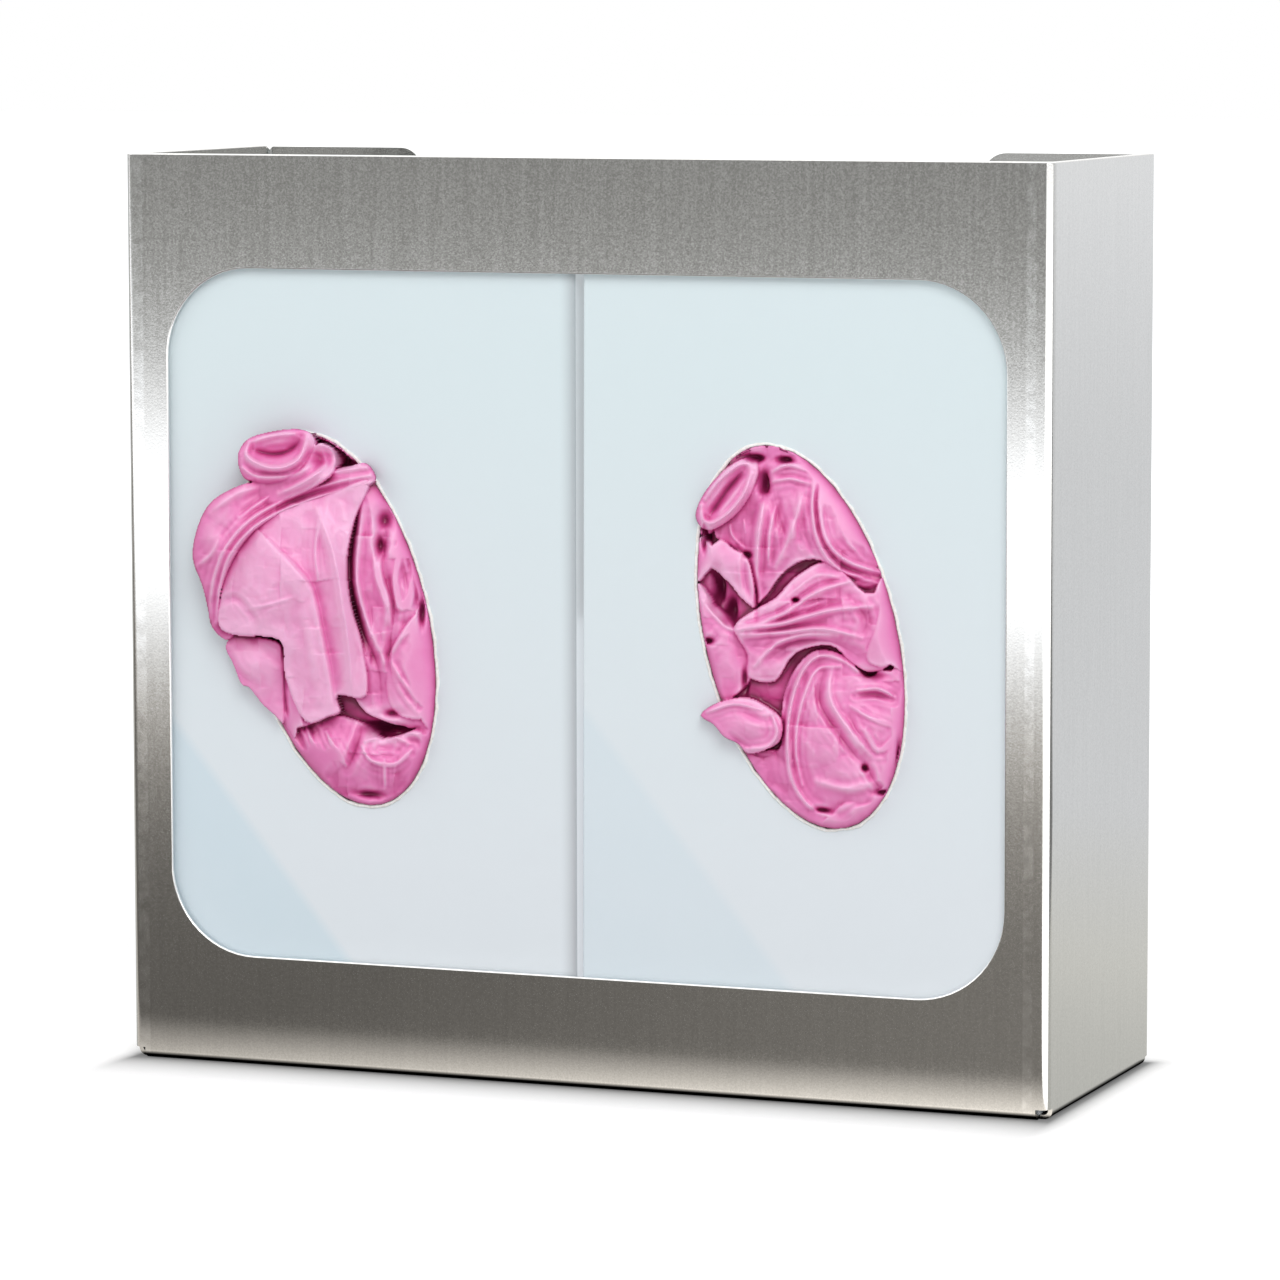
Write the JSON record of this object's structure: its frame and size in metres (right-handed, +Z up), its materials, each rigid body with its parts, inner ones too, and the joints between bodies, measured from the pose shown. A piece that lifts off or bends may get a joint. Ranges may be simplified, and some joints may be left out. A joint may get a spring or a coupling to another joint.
{
  "type": "disposable glove dispenser",
  "caption": "Folded stainless steel holder with a large rounded window, open at the top and back, with cartons of disposable gloves side by side, gloves hanging from their oval openings.",
  "frame": {"origin": "middle of the object's box at the level of the holder's feet", "axes": "+Z up, +X to the right seen from the front, +Y from the front panel towards the wall behind"},
  "size_m": [0.276, 0.1082, 0.26],
  "materials": {
    "steel": "brushed",
    "card": "satin coated card",
    "nitrile": "thin pink nitrile film, satin"
  },
  "bodies": {
    "root": {"holder": "steel", "left_carton": "card", "right_carton": "card", "left_glove_stack": "nitrile", "right_glove_stack": "nitrile", "left_cuff_glove": "nitrile", "left_palm_glove": "nitrile", "left_inner_glove": "nitrile", "right_cuff_glove": "nitrile", "right_middle_glove": "nitrile", "right_lower_glove": "nitrile"}
  },
  "joints": []
}
